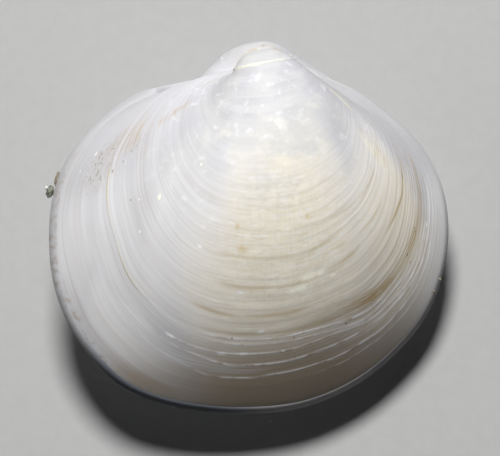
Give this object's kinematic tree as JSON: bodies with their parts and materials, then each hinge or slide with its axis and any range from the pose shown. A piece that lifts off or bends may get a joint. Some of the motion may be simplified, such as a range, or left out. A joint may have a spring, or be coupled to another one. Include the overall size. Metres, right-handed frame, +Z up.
{
  "type": "bivalve shell",
  "caption": "Closed pair of valves of the clam Parvilucina tenuisculpta, white with fine growth lines and ledges, 12 mm long, lying on its right valve.",
  "frame": {"origin": "middle of the bounding box on the level it rests on", "axes": "+X to the back end of the shell, +Y to the hinge and beaks, +Z up through the left valve"},
  "size_m": [0.012, 0.0112, 0.0066],
  "materials": {
    "shell": "dull, slightly waxy white shell",
    "ligament": "dry brown horny band"
  },
  "bodies": {
    "root": {"left_valve": "shell", "right_valve": "shell", "ligament": "ligament"}
  },
  "joints": []
}
